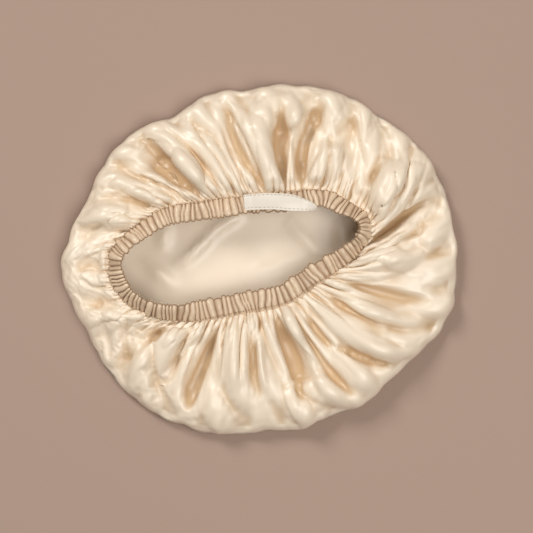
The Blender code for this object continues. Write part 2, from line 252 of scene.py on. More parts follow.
def mouth_line(angles):
    """Middle line of the casing in plan."""
    turn = np.radians(angles)
    tilt = math.radians(MOUTH_TILT_DEG)
    reach = read_round(CASING_ROWS, "reach", angles)
    along = MOUTH_LENGTH / 2 * np.cos(turn) * reach
    across = MOUTH_DEPTH / 2 * np.sin(turn) * reach
    x = MOUTH_SHIFT[0] + along * math.cos(tilt) - across * math.sin(tilt)
    y = MOUTH_SHIFT[1] + along * math.sin(tilt) + across * math.cos(tilt)
    return np.stack([x, y], axis=-1)


MOUTH_ANGLES = np.linspace(0.0, 360.0, 3601)
MOUTH_STEPS = np.linalg.norm(np.diff(mouth_line(MOUTH_ANGLES), axis=0), axis=1)
MOUTH_LENGTHS = np.concatenate([[0.0], np.cumsum(MOUTH_STEPS)])
CASING_LENGTH = MOUTH_LENGTHS[-1]
print("casing is", round(CASING_LENGTH, 3), "m round")


# %% Places and directions along the casing
def mouth_angle(way):
    """Angle round the mouth oval at a share of the casing's length."""
    turns = np.floor(way)
    return np.interp((way - turns) * CASING_LENGTH, MOUTH_LENGTHS, MOUTH_ANGLES) + 360.0 * turns


def casing_frame(way):
    """Middle of the casing at a way round it, and its across and up directions."""
    angle = mouth_angle(way)
    along = unit(mouth_line(angle + HALF_STEP_DEG) - mouth_line(angle - HALF_STEP_DEG))
    lean = np.radians(read_round(CASING_ROWS, "lean", angle))
    outward = np.stack([along[..., 1], -along[..., 0]], axis=-1)
    cosine = np.cos(lean)[..., None]
    sine = np.sin(lean)[..., None]
    across = np.concatenate([outward * cosine, -sine], axis=-1)
    up = np.concatenate([outward * sine, cosine], axis=-1)
    height = SEAM_HEIGHT + CASING_WIDTH / 2 * np.sin(lean)
    middle = np.concatenate([mouth_line(angle), height[..., None]], axis=-1)
    return middle, across, up


print("casing leans by up to", max(row["lean"] for row in CASING_ROWS), "degrees")

# %% [markdown]
# ## The gathers
# Elastic pulls two or three lengths of cloth into one. Even ripples would look like machine
# pleats, so each gather gets its own width, height and slant from one seeded draw. The casing
# and the cloth beside it read the same gathers, so that the folds run on from one to the other.

# %% Uneven gathers
GATHER_COUNT = 116
dice = np.random.default_rng(11)
GATHER_WIDTHS = 1.0 + 0.9 * (dice.random(GATHER_COUNT) - 0.5)
GATHER_MARKS = np.concatenate([[0.0], np.cumsum(GATHER_WIDTHS)]) / GATHER_WIDTHS.sum()
GATHER_HEIGHTS = 0.45 + 0.65 * dice.random(GATHER_COUNT)
GATHER_SLANTS = dice.random(GATHER_COUNT) - 0.5
GATHER_LEANS = 0.7 + 0.7 * dice.random(GATHER_COUNT)


def gather_at(way):
    """Number of the gather at a way round the casing, and the share of the way through it."""
    way = np.mod(way, 1.0)
    number = np.clip(np.searchsorted(GATHER_MARKS, way, side="right") - 1, 0, GATHER_COUNT - 1)
    share = (way - GATHER_MARKS[number]) / (GATHER_MARKS[number + 1] - GATHER_MARKS[number])
    return number, share


def gather_arch(way):
    """Round crests with sharp valleys between them, from 0 to the gather's own height."""
    number, share = gather_at(way)
    leaned = share ** GATHER_LEANS[number]
    return GATHER_HEIGHTS[number] * np.sqrt(np.clip(4.0 * leaned * (1.0 - leaned), 0.0, 1.0))


print("gathers", GATHER_COUNT)

# %% [markdown]
# Only the sewn edge shows every gather. Further out, neighbours merge into wider folds that run
# on towards the rim. Here every wide fold spans three gathers, has its own height, starts at its
# own distance from the rim and bends a little, so that no two look alike.

# %% Wide folds that the gathers merge into
WIDE_STEP = 3
WIDE_BENDS = [
    {"size": 0.009, "inward": 3.2, "round": 50.0},
    {"size": 0.006, "inward": 6.0, "round": 88.0},
]
WIDE_MARKS = GATHER_MARKS[::WIDE_STEP].copy()
WIDE_MARKS[-1] = 1.0
WIDE_HEIGHTS = 0.5 + 0.7 * dice.random(len(WIDE_MARKS))
WIDE_STARTS = 0.75 * dice.random(len(WIDE_MARKS)) - 0.2


def wide_folds(way_round, way_in):
    """Round folds with sharp valleys on a grid of rings and columns, strongest near the seam."""
    bend = np.zeros((len(way_in), len(way_round)))
    for row in WIDE_BENDS:
        bend += row["size"] * np.sin(way_in[:, None] * row["inward"] + way_round[None, :] * row["round"])
    place = np.mod(way_round[None, :] + bend * (1.0 - way_in[:, None]) * 2.0, 1.0)
    fold = np.clip(np.searchsorted(WIDE_MARKS, place, side="right") - 1, 0, len(WIDE_MARKS) - 2)
    share = (place - WIDE_MARKS[fold]) / (WIDE_MARKS[fold + 1] - WIDE_MARKS[fold])
    arch = np.sqrt(np.clip(4.0 * share * (1.0 - share), 0.0, 1.0)) * WIDE_HEIGHTS[fold]
    own = ease((way_in[:, None] - WIDE_STARTS[fold]) / 0.35)
    shared = ease((way_in[:, None] + 0.15) / 0.5)
    return (arch * own - 0.5 * shared) * ease((1.0 - way_in[:, None]) / 0.08)


print("wide folds", len(WIDE_MARKS) - 1)

# %% [markdown]
# ## The crown
# The crown is one sheet, so it is made as one grid: a ring of columns, each running from the
# middle of the underside out to the rim and back in to the seam. A formula with a short table of
# folds puts the main ridges and valleys where the real ones lie. That alone would look carved.
# So the sheet is then handed to a cloth simulation that gives it spare width, and the spare
# cloth buckles into the soft wrinkles that satin has.
#
# The mouth lies off the middle and slants, so the columns don't run straight outwards. A table
# says to which place on the rim each part of the casing leads.

# %% How the cloth fans out from the casing to the rim
FAN_ROWS = named_rows(("way", "rim_angle"), [
    (0.00, 39), (0.11, 64), (0.17, 92), (0.24, 117), (0.31, 142), (0.38, 162),
    (0.45, 178), (0.52, 191), (0.59, 208), (0.66, 229), (0.72, 252),
    (0.78, 283), (0.83, 311), (0.88, 344), (0.94, 374), (1.00, 399),
])
FAN_SMOOTHING = 0.035


def sharp_fan(way):
    """Rim angle at a way round the casing, straight between the rows."""
    ways = [row["way"] for row in FAN_ROWS]
    angles = [row["rim_angle"] for row in FAN_ROWS]
    turns = np.floor(way)
    return np.interp(way - turns, ways, angles) + 360.0 * turns


def fan_angle(way):
    """Rim angle with the corners between the rows rounded off."""
    way = np.asarray(way, dtype=float)
    shifts = np.linspace(-1.0, 1.0, 9) * FAN_SMOOTHING
    return sum(sharp_fan(way + shift) for shift in shifts) / len(shifts)


print("fan rows", len(FAN_ROWS))

# %% [markdown]
# The main folds are few enough to list one by one. A valley between two bulges is narrow and sharp,
# so its section is a pointed curve; a ridge is round, so its section is a bell. Every fold leans
# from its place on the casing to its place on the rim, on a slightly curved path.

# %% Main folds
# lift is a share of the height there, half is the half width in degrees of the rim, and lip
# raises the side towards the next larger angle (+) or smaller angle (-) over the other.
FOLD_ROWS = named_rows(("rim", "way", "lift", "half", "from", "to", "lip"), [
    (101, 0.186, -0.30, 3.5, 0.05, 1.0, -0.16),
    (93, 0.175, 0.12, 7, 0.1, 0.9, 0.0),
    (79, 0.157, -0.30, 4, 0.1, 1.0, 0.10),
    (71, 0.143, 0.18, 4, 0.0, 0.95, 0.0),
    (64, 0.128, -0.30, 3, 0.12, 1.0, -0.10),
    (53, 0.10, -0.28, 4, 0.2, 0.6, 0.0),
    (44, 0.05, -0.24, 3, 0.15, 0.8, 0.08),
    (31, 0.00, 0.32, 7, 0.0, 1.0, 0.0),
    (20, 0.955, -0.32, 3, 0.05, 0.95, 0.14),
    (6, 0.925, 0.14, 7, 0.1, 0.9, 0.0),
    (350, 0.89, -0.28, 3.5, 0.1, 1.0, -0.1),
    (339, 0.865, -0.34, 3, 0.05, 1.0, 0.1),
    (326, 0.85, 0.20, 8, 0.0, 0.8, 0.0),
    (313, 0.832, -0.24, 3, 0.1, 1.0, 0.08),
    (305, 0.812, -0.30, 2.5, 0.0, 0.9, 0.1),
    (293, 0.80, 0.14, 5, 0.1, 1.0, 0.0),
    (282, 0.783, -0.36, 3.5, 0.0, 1.0, -0.1),
    (276, 0.768, 0.18, 3, 0.1, 1.0, 0.0),
    (268, 0.75, -0.16, 3, 0.3, 1.0, 0.0),
    (257, 0.73, 0.10, 6, 0.0, 0.7, 0.0),
    (246, 0.708, -0.28, 3.5, 0.05, 1.0, 0.1),
    (236, 0.69, -0.20, 3, 0.1, 1.0, 0.0),
    (225, 0.65, 0.18, 5, 0.0, 1.0, 0.0),
    (216, 0.625, -0.28, 3, 0.05, 0.95, 0.1),
    (202, 0.585, 0.16, 6, 0.0, 0.8, 0.0),
    (190, 0.55, -0.26, 3.5, 0.0, 0.9, 0.1),
    (178, 0.47, -0.30, 4, 0.2, 0.9, 0.0),
    (166, 0.42, 0.20, 5, 0.0, 0.9, 0.0),
    (157, 0.36, -0.24, 3, 0.1, 1.0, 0.08),
    (149, 0.33, 0.18, 4, 0.0, 1.0, 0.0),
    (143, 0.313, -0.32, 3.5, 0.05, 1.0, 0.0),
    (133, 0.293, -0.30, 3.5, 0.1, 1.0, -0.1),
    (123, 0.265, 0.22, 5, 0.0, 1.0, 0.0),
    (114, 0.22, 0.12, 5, 0.1, 1.0, 0.0),
])
print("main folds", len(FOLD_ROWS))


# %% Rise and dip of the main folds
def fold_shares(rim_angles, way_in, softness):
    """Rise or dip of the main folds on a grid of rings and columns, as shares of the height."""
    total = np.zeros((len(way_in), len(rim_angles)))
    for fold in FOLD_ROWS:
        turn = np.mod(fan_angle(fold["way"]) - fold["rim"] + 180.0, 360.0) - 180.0
        sideways = 5.0 * math.sin(fold["rim"] * 1.7) * np.sin(math.pi * way_in[:, None])
        middle = fold["rim"] + turn * way_in[:, None] + sideways
        distance = np.mod(rim_angles[None, :] - middle + 180.0, 360.0) - 180.0
        distance = distance / fold["half"]
        stretch = (way_in[:, None] - fold["from"]) / (fold["to"] - fold["from"])
        window = ease(0.12 + stretch * 1.9) * ease((1.0 - stretch) * 3.0)
        if fold["lift"] < 0:
            shape = np.exp(softness - np.sqrt(distance * distance + softness * softness))
        else:
            shape = np.exp(-distance * distance)
        lip = fold["lip"] * np.tanh(distance * 2.5) * np.exp(-np.abs(distance) / 1.6)
        total += window * (fold["lift"] * shape + lip)
    return total


print("deepest fold", min(row["lift"] for row in FOLD_ROWS))

# %% [markdown]
# Between the main folds the satin is never smooth. Waves of different count, drawn once from a
# fixed seed, are laid over each other. Their valleys are sharp and their backs round, as in cloth.

# %% Seeded creases between the main folds
CREASE_WAVES = 9
FEWEST_CREASES = 9
MOST_CREASES = 34
CURVE_SPREAD = 1.6
CURVE_SIZE = 2.2
CURVE_WAVE = 2.6


def seeded_creases(rim_angles, way_in):
    """Curved round folds with sharp valleys, roughly between -1 and 1, the same each time."""
    crease_dice = np.random.default_rng(5)
    total = np.zeros((len(way_in), len(rim_angles)))
    for _ in range(CREASE_WAVES):
        folds_round = crease_dice.integers(FEWEST_CREASES, MOST_CREASES)
        curve = crease_dice.normal(0.0, CURVE_SPREAD) * CURVE_SIZE
        start = crease_dice.random() * 2 * math.pi
        phase = np.radians(rim_angles)[None, :] * folds_round + start
        phase = phase + curve * np.sin(way_in[:, None] * CURVE_WAVE + start)
        total += (1.6 * np.abs(np.sin(phase / 2)) ** 0.8 - 1.0) / CREASE_WAVES ** 0.5
    return total * (ease((way_in + 0.03) / 0.1) * ease((0.95 - way_in) / 0.1))[:, None]


print("crease waves", CREASE_WAVES)

# %% [markdown]
# Now the grid itself. Each column has one point on the rim and one on the seam. The rim is
# scalloped where folds end. The seam edge is tucked a little under the casing, as a sewn edge is.

# %% Ends of the columns
COLUMN_COUNT = GATHER_COUNT * 2
SEAM_TUCK = 0.0035
RIM_SCALLOP = 0.022
RIM_WAVE_COUNTS = (17, 26, 41)
RIM_WAVE_MEAN = 0.6

ways = (np.arange(COLUMN_COUNT) + 0.5) / COLUMN_COUNT
rim_angles = fan_angle(ways)
rim_turns = np.radians(rim_angles)
rim_waves = sum(np.abs(np.sin(rim_turns * count / 2 + count)) for count in RIM_WAVE_COUNTS) / 3
rim_points = rim_line(rim_angles) * (1.0 + RIM_SCALLOP * (rim_waves - RIM_WAVE_MEAN))[:, None]

casing_middle, casing_across, _ = casing_frame(ways)
seam_points = casing_middle + casing_across * (CASING_WIDTH / 2 - SEAM_TUCK)
print("crown has", COLUMN_COUNT, "columns")

# %% Profile from the middle to the seam
UPPER_RINGS = 30
RIM_ROLL_HEIGHT = 0.009
ROLL_START = 0.88
PUFF_HEIGHT = 0.031
PUFF_REACH = 0.55


def underside_height(reach):
    """Flat to near the rim, then a quarter of an oval up to the roll."""
    rolled = np.clip((reach - ROLL_START) / (1.0 - ROLL_START), 0.0, 1.0)
    return RIM_ROLL_HEIGHT * (1.0 - np.sqrt(1.0 - rolled * rolled))


def upper_height(way_in):
    """Rises steeply at the rim and levels off towards the seam."""
    left = 1.0 - np.clip(way_in / PUFF_REACH, 0.0, 1.0)
    return RIM_ROLL_HEIGHT + (PUFF_HEIGHT - RIM_ROLL_HEIGHT) * np.sqrt(1.0 - left * left)


floor_shares = np.linspace(0.03, 0.62, 24)
hidden_shares = np.linspace(0.66, 0.86, 5)
roll_shares = np.linspace(0.89, 1.0, 9)
underside_shares = np.concatenate([floor_shares, hidden_shares, roll_shares])
upper_steps = np.linspace(0.0, 1.0, UPPER_RINGS + 1)[1:]
upper_shares = mix(upper_steps, ease(upper_steps), 0.25)
print("rings", len(underside_shares), "below and", len(upper_shares), "above")

# %% [markdown]
# At the left end the way from the rim to the seam is about half as long as elsewhere. Folds of the
# full depth would reach the floor there, so every rise is scaled with the room that it has.

# %% Rings of the crown
SEAM_BLEND_START = 0.72
FOLD_DEPTH = 1.25
CREASE_RISE = 0.0038
WIDE_RISE = 0.0055
FULL_SPAN = 0.095
SHORT_ROOM = 0.45
COARSE_SOFTNESS = 0.35

rings = []
for share in underside_shares:
    height = np.full(COLUMN_COUNT, underside_height(share))
    rings.append(np.column_stack([rim_points * share, height]))

spans = np.linalg.norm(seam_points[:, :2] - rim_points, axis=1)
room = np.clip(spans / FULL_SPAN, SHORT_ROOM, 1.0)
fold_grid = fold_shares(rim_angles, upper_shares, COARSE_SOFTNESS)
small_rises = CREASE_RISE * room * seeded_creases(rim_angles, upper_shares)
wide_rises = WIDE_RISE * (room * wide_folds(ways, upper_shares))
for number, share in enumerate(upper_shares):
    plan = mix(rim_points, seam_points[:, :2], share)
    puffed = upper_height(share) * (1.0 + FOLD_DEPTH * room * fold_grid[number])
    to_seam = ease((share - SEAM_BLEND_START) / (1.0 - SEAM_BLEND_START))
    height = mix(puffed, seam_points[:, 2], to_seam) + small_rises[number] + wide_rises[number]
    rings.append(np.column_stack([plan, height]))
grid = np.array(rings)
print("crown grid", grid.shape[0], "rings of", grid.shape[1])


# %% Mesh helpers
def add_mesh(name, points, faces, flat_places=None):
    """A smooth-shaded object from points and faces, with the cloth's own flat places as its UVs."""
    mesh = bpy.data.meshes.new(name)
    mesh.from_pydata([tuple(point) for point in points], [], faces)
    mesh.shade_smooth()
    if flat_places is not None:
        layer = mesh.uv_layers.new(name="flat_cloth")
        corners = np.zeros(len(mesh.loops), dtype=np.int32)
        mesh.loops.foreach_get("vertex_index", corners)
        layer.data.foreach_set("uv", np.asarray(flat_places)[corners].ravel())
    return add_object(name, mesh)


def ring_faces(ring_count, column_count, first=0, joined=False):
    """Faces between rings of points; joined also links the last ring to the first."""
    faces = []
    for ring in range(ring_count if joined else ring_count - 1):
        start = first + ring * column_count
        ahead = first + (ring + 1) % ring_count * column_count
        for column in range(column_count):
            after = (column + 1) % column_count
            faces.append((start + column, start + after, ahead + after, ahead + column))
    return faces


print("points to join", grid.shape[0] * grid.shape[1])

# %% [markdown]
# Before it was sewn, the crown was a flat round piece. Each point keeps its place in that round,
# as a UV map. The reach is measured along the cloth, so it also gives the size of the cut.

# %% Flat places of the crown
flat_steps = np.linalg.norm(np.diff(grid, axis=0), axis=2).mean(axis=1)
flat_reach = np.concatenate([[0.0], np.cumsum(flat_steps)]) + np.linalg.norm(grid[0, :, :2], axis=1).mean()
flat_directions = np.stack([np.cos(rim_turns), np.sin(rim_turns)], axis=-1)
flat_grid = flat_reach[:, None, None] * flat_directions[None]

# %% [markdown]
# ## The satin
# Satin shines because most of its threads float on one side. So it has a soft, broad highlight
# over a warm body colour, and it changes little from place to place. A fine weave is laid in the
# cloth's own flat places, so that it turns with every fold.

# %% Shader helpers
WEAVE_PITCH = 0.0006
WEAVE_SCALE = 2 * math.pi / (10 * WEAVE_PITCH)


def mixed_tone(tree, first, second, scale, detail):
    """A colour that drifts between two tones in soft patches."""
    places = tree.nodes.new("ShaderNodeTexCoord")
    patches = tree.nodes.new("ShaderNodeTexNoise")
    patches.inputs["Scale"].default_value = scale
    patches.inputs["Detail"].default_value = detail
    tree.links.new(places.outputs["Object"], patches.inputs["Vector"])
    colours = tree.nodes.new("ShaderNodeMix")
    colours.data_type = "RGBA"
    colours.inputs[6].default_value = first
    colours.inputs[7].default_value = second
    tree.links.new(patches.outputs["Fac"], colours.inputs[0])
    return colours.outputs[2]


def woven_relief(tree, strength):
    """Fine slanting ribs of the weave, laid in the cloth's own flat places."""
    places = tree.nodes.new("ShaderNodeTexCoord")
    weave = tree.nodes.new("ShaderNodeTexWave")
    weave.wave_type = "BANDS"
    weave.bands_direction = "DIAGONAL"
    weave.inputs["Scale"].default_value = WEAVE_SCALE
    weave.inputs["Distortion"].default_value = 1.5
    weave.inputs["Detail"].default_value = 1.0
    tree.links.new(places.outputs["UV"], weave.inputs["Vector"])
    relief = tree.nodes.new("ShaderNodeBump")
    relief.inputs["Strength"].default_value = strength
    relief.inputs["Distance"].default_value = 0.0001
    tree.links.new(weave.outputs["Fac"], relief.inputs["Height"])
    return relief.outputs["Normal"]


print("weave pitch", WEAVE_PITCH * 1000, "mm")

# %% Satin material
SATIN_FINISH = {
    "Specular IOR Level": 0.75,
    "Sheen Weight": 0.12,
    "Sheen Roughness": 0.4,
    "Anisotropic": 0.6,
}


def satin(name, light, deep, painted_shade, roughness, bump):
    """Glossy woven satin with a slow change of tone, and painted shade mixed into its colour deep in its
    folds.
    """
    material = add_material(name, {**SATIN_FINISH, "Roughness": roughness})
    tree = material.node_tree
    shader = tree.nodes["Principled BSDF"]
    # Painted shade: the colour turns to a darker golden tone where a point lies deep in a fold.
    depth = tree.nodes.new("ShaderNodeAttribute")
    depth.attribute_name = "painted_shade"
    painted_shade_mix = tree.nodes.new("ShaderNodeMix")
    painted_shade_mix.data_type = "RGBA"
    painted_shade_mix.inputs[7].default_value = painted_shade
    tree.links.new(depth.outputs["Fac"], painted_shade_mix.inputs[0])
    tree.links.new(mixed_tone(tree, deep, light, 18.0, 3.0), painted_shade_mix.inputs[6])
    tree.links.new(painted_shade_mix.outputs[2], shader.inputs["Base Color"])
    tree.links.new(woven_relief(tree, bump), shader.inputs["Normal"])
    print("material", name)
    return material


print("satin finish", SATIN_FINISH)

# %% The three satins
# The darkest tone of each satin is its painted shade for deep folds.
champagne = satin(
    "champagne_satin",
    light=(0.96, 0.84, 0.69, 1.0),
    deep=(0.93, 0.795, 0.62, 1.0),
    painted_shade=(0.60, 0.41, 0.225, 1.0),
    roughness=0.36,
    bump=0.12,
)
# The casing is the same satin as the crown, given darker tones as painted shade of its close gathers.
ruched = satin(
    "ruched_satin",
    light=(0.84, 0.67, 0.49, 1.0),
    deep=(0.78, 0.60, 0.42, 1.0),
    painted_shade=(0.31, 0.17, 0.085, 1.0),
    roughness=0.38,
    bump=0.12,
)
ivory = satin(
    "ivory_label",
    light=(0.86, 0.805, 0.715, 1.0),
    deep=(0.81, 0.75, 0.655, 1.0),
    painted_shade=(0.70, 0.62, 0.52, 1.0),
    roughness=0.45,
    bump=0.1,
)

# %% [markdown]
# In a narrow fold, light meets satin again and again and turns golden. A renderer shows only a
# part of that. So each point of the mesh keeps how deep in a fold it lies, and the material mixes
# in painted shade there: a darker, more golden tone in place of the fold's shade and bounced light.

# %% Painted shade by depth in the folds
def set_painted_shade(piece, shade_amounts):
    """Keep how much painted shade each point gets, from 0 to 1, by how deep in a fold it lies."""
    layer = piece.data.attributes.new("painted_shade", "FLOAT", "POINT")
    layer.data.foreach_set("value", np.clip(shade_amounts, 0.0, 1.0).ravel().astype(np.float32))


def blur_columns(values, reach):
    """Mean over neighbouring columns of a closed ring."""
    return sum(np.roll(values, step, axis=1) for step in range(-reach, reach + 1)) / (2 * reach + 1)


print("depths are kept with the points, from 0 to 1")

# %% [markdown]
# ## Letting the cloth settle
# The underside lies on the floor and the seam is sewn, so both are pinned. The simulation also
# gets a second shape of the sheet, the cut, which hardly narrows towards the seam. It takes its
# lengths from there, so the sheet has far too much width for its place and buckles into folds
# that run inwards. A light pressure holds them up, as the stiff gathers do, and the cloth must
# not pass through itself or the floor.

# %% Settings of the cloth
CLOTH_FRAMES = 30
CUT_INWARD = 0.2
CUT_SLACK = 0.96
RIM_PIN = 0.6
SEAM_PIN_START = 0.96
SEAM_PIN_STRETCH = 0.03
FLOOR_GAP = 0.0006
FIRST_MOVING = int(np.argmax(underside_shares > 0.80))
UNDER_RINGS = len(underside_shares) - FIRST_MOVING
CLOTH_SETTINGS = {
    "quality": 5,
    "mass": 0.08,
    "tension_stiffness": 14.0,
    "compression_stiffness": 14.0,
    "shear_stiffness": 4.0,
    "bending_stiffness": 0.1,
    "tension_damping": 6.0,
    "compression_damping": 6.0,
    "shear_damping": 6.0,
    "bending_damping": 0.5,
    "air_damping": 1.0,
    "vertex_group_mass": "pinned",
    "use_pressure": True,
    "uniform_pressure_force": 1.6,
}
COLLISION_SETTINGS = {
    "distance_min": 0.001,
    "use_self_collision": True,
    "self_distance_min": 0.0007,
    "collision_quality": 2,
}
print("moving rings", grid.shape[0] - FIRST_MOVING)


# %% Pins and cut
def add_weights(piece, name, weights):
    """Vertex group with one weight for each point."""
    group = piece.vertex_groups.new(name=name)
    levels = np.round(np.clip(weights, 0.0, 1.0), 2)
    for level in np.unique(levels):
        group.add(np.nonzero(levels == level)[0].tolist(), float(level), "REPLACE")


def cut_shape(rings):
    """The moving rings with the width that they had before they were gathered."""
    upper = rings[UNDER_RINGS - 1:]
    lengths = np.cumsum(np.linalg.norm(np.diff(upper, axis=0), axis=2), axis=0)
    inward = CUT_INWARD * (seam_points[:, :2] - rim_points)
    advance = inward[None] * (lengths / lengths[-1])[..., None]
    climb = np.sqrt(np.maximum((CUT_SLACK * lengths) ** 2 - np.sum(advance ** 2, axis=2), 0.0))
    cut = rings.copy()
    cut[UNDER_RINGS:, :, :2] = rim_points[None] + advance
    cut[UNDER_RINGS:, :, 2] = RIM_ROLL_HEIGHT + climb
    return cut


print("the cut comes in by", CUT_INWARD, "of the way to the seam")


# %% Cloth simulation
def settle(rings):
    """Run the cloth between its pinned ends and give back where its points end up."""
    moving = add_mesh("settling", rings.reshape(-1, 3), ring_faces(rings.shape[0], COLUMN_COUNT))
    pins = np.concatenate([np.zeros(UNDER_RINGS), ease((upper_shares - SEAM_PIN_START) / SEAM_PIN_STRETCH)])
    pins[:2] = 1.0
    pins[UNDER_RINGS - 1] = RIM_PIN
    add_weights(moving, "pinned", np.repeat(pins, COLUMN_COUNT))
    moving.shape_key_add(name="placed")
    uncut = moving.shape_key_add(name="cut")
    uncut.data.foreach_set("co", cut_shape(rings).ravel())
    floor.modifiers.new("stop", "COLLISION")
    floor.collision.thickness_outer = FLOOR_GAP
    cloth = moving.modifiers.new("cloth", "CLOTH")
    for name, value in CLOTH_SETTINGS.items():
        setattr(cloth.settings, name, value)
    for name, value in COLLISION_SETTINGS.items():
        setattr(cloth.collision_settings, name, value)
    cloth.settings.rest_shape_key = uncut
    cloth.settings.effector_weights.gravity = 0.0
    cloth.point_cache.frame_end = CLOTH_FRAMES
    for step in range(1, CLOTH_FRAMES + 1):
        bpy.context.scene.frame_set(step)
    settled = moving.evaluated_get(bpy.context.evaluated_depsgraph_get()).to_mesh()
    places = np.zeros(rings.size, dtype=np.float32)
    settled.vertices.foreach_get("co", places)
    bpy.context.scene.frame_set(1)
    bpy.data.objects.remove(moving)
    floor.modifiers.clear()
    return places.reshape(rings.shape).astype(float)


# Where there is little room the run only crumples the cloth, so its result counts less there.
LEAST_CLOTH_PART = 0.2
ROOM_BLEND = 0.35
before = grid[FIRST_MOVING:].copy()
cloth_part = mix(LEAST_CLOTH_PART, 1.0, ease((room - SHORT_ROOM) / ROOM_BLEND))
grid[FIRST_MOVING:] = mix(before, settle(before), cloth_part[None, :, None])
moved = np.linalg.norm(grid[FIRST_MOVING:] - before, axis=2)
print("cloth moved", round(moved.mean() * 1000, 1), "mm on average")

# %% [markdown]
# ## Refining the crown
# A smooth surface needs more points than the simulation can afford. A subdivision modifier
# would do it, but the point where all columns meet in the middle makes it very slow. So the
# grid is refined here: every new point lies on a smooth curve through four old ones.

# %% Refine the settled grid
def refine_closed(values):
    """Twice as many columns on closed smooth curves."""
    before, after, beyond = (np.roll(values, step, axis=1) for step in (1, -1, -2))
    halfway = (9.0 * (values + after) - before - beyond) / 16.0
    return np.stack([values, halfway], axis=2).reshape(values.shape[0], -1, values.shape[2])


def refine_open(values):
    """Twice as many rings, less one, on smooth curves with loose ends."""
    padded = np.concatenate([2 * values[:1] - values[1:2], values, 2 * values[-1:] - values[-2:-1]])
    halfway = (9.0 * (padded[1:-2] + padded[2:-1]) - padded[:-3] - padded[3:]) / 16.0
    woven = np.stack([values[:-1], halfway], axis=1).reshape(-1, values.shape[1], values.shape[2])
    return np.concatenate([woven, values[-1:]])


def raise_points(values, relief):
    """Move every point along its own normal by its relief."""
    along = np.roll(values, -1, axis=1) - np.roll(values, 1, axis=1)
    normal = unit(np.cross(along, np.gradient(values, axis=0)))
    return values + normal * relief[..., None]


under_count = len(underside_shares)
top_grid, top_flat = (
    refine_open(refine_closed(refine_closed(values[under_count - 1:]))) for values in (grid, flat_grid)
)
under_grid, under_flat = (
    refine_closed(refine_closed(values[:under_count])) for values in (grid, flat_grid)
)
print("refined to", top_grid.shape[1], "columns")

# %% [markdown]
# The simulation rounds every fold off. So the same folds are laid over the fine grid once more,
# with sharper valleys, and the small gathers come in here, close to the sewn edge. Each of them
# rises along the surface's own normal, reaches in by its own amount and drifts a little sideways.

# %% Sharpen the folds and add the gathers
FOLD_SHARPENING = 0.0115
FINE_SOFTNESS = 0.06
CREASE_SHARPENING = 0.0016
WIDE_SHARPENING = 0.0034
GATHER_RISE = 0.0044
GATHER_START = 0.66
GATHER_END = 0.97
DRIFT_SIZE = 0.004
DRIFT_WAVES = 13

fine_columns = np.arange(top_grid.shape[1])
fine_ways = (fine_columns / 4 + 0.5) / COLUMN_COUNT
fine_angles = fan_angle(fine_ways)
ring_shares = np.concatenate([[0.0], upper_shares])
fine_shares = np.interp(np.arange(top_grid.shape[0]) / 2, np.arange(len(ring_shares)), ring_shares)
drift_round = np.sin(fine_ways * 2 * math.pi * DRIFT_WAVES)
drift = DRIFT_SIZE * np.sin(fine_shares * 9.0)[:, None] * drift_round[None, :]
near_seam = ease((fine_shares - GATHER_START) / (1.0 - GATHER_START))[:, None]
near_seam = near_seam * (1.0 - ease((fine_shares - GATHER_END) / 0.03))[:, None]
reach_in = np.interp(fine_columns / 8 % GATHER_COUNT, np.arange(GATHER_COUNT), GATHER_SLANTS + 0.5)
reach_in = 0.75 + 0.5 * reach_in
fine_arches = gather_arch(fine_ways[None, :] + drift)
relief = GATHER_RISE * np.clip(near_seam * reach_in[None, :], 0.0, 1.0) * (fine_arches - 0.5)
relief += WIDE_SHARPENING * wide_folds(fine_ways, fine_shares)
relief += FOLD_SHARPENING * fold_shares(fine_angles, fine_shares, FINE_SOFTNESS)
relief += CREASE_SHARPENING * seeded_creases(fine_angles, fine_shares)
fine_room = np.interp(fine_columns / 4, np.arange(COLUMN_COUNT), room)
top_grid = raise_points(top_grid, relief * np.sqrt(fine_room)[None, :])
fine_grid = np.concatenate([under_grid, top_grid[1:]])
fine_flat = np.concatenate([under_flat, top_flat[1:]])
print("relief from", round(relief.min() * 1000, 1), "to", round(relief.max() * 1000, 1), "mm")

# %% [markdown]
# Through the mouth the bottom of the bonnet shows. It lies flat but for a few soft ridges, where
# the cloth has slipped. Each is a straight line with a bell for its section.

# %% Ridges on the bottom, by their two ends, height and width
INSIDE_RIDGES = named_rows(("from", "to", "rise", "width"), [
    ((-0.018, 0.041), (-0.041, 0.026), 0.0050, 0.0045),
    ((-0.041, 0.026), (-0.068, -0.003), 0.0056, 0.005),
    ((-0.085, 0.030), (-0.088, 0.012), 0.0040, 0.005),
    ((0.028, 0.032), (0.055, 0.004), 0.0026, 0.005),
    ((0.073, 0.032), (0.078, 0.010), 0.0026, 0.0045),
    ((-0.100, -0.004), (-0.080, -0.022), 0.0042, 0.006),
    ((-0.010, -0.012), (0.035, 0.004), 0.0018, 0.007),
])
RIDGES_END = 0.86

under_rows = fine_grid[:under_count]
inside = ease((RIDGES_END - underside_shares) / 0.1)[:, None]
for ridge in INSIDE_RIDGES:
    start = np.array(ridge["from"])
    run = np.array(ridge["to"]) - start
    spot = np.clip(((under_rows[..., :2] - start) @ run) / (run @ run), 0.0, 1.0)
    apart = np.linalg.norm(under_rows[..., :2] - start - spot[..., None] * run, axis=2)
    fade = np.sin(math.pi * np.clip(0.15 + 0.7 * spot, 0.0, 1.0))
    under_rows[..., 2] += inside * ridge["rise"] * fade * np.exp(-(apart / ridge["width"]) ** 2)
fine_grid[..., 2] = np.maximum(fine_grid[..., 2], 0.0)
print("ridges", len(INSIDE_RIDGES))

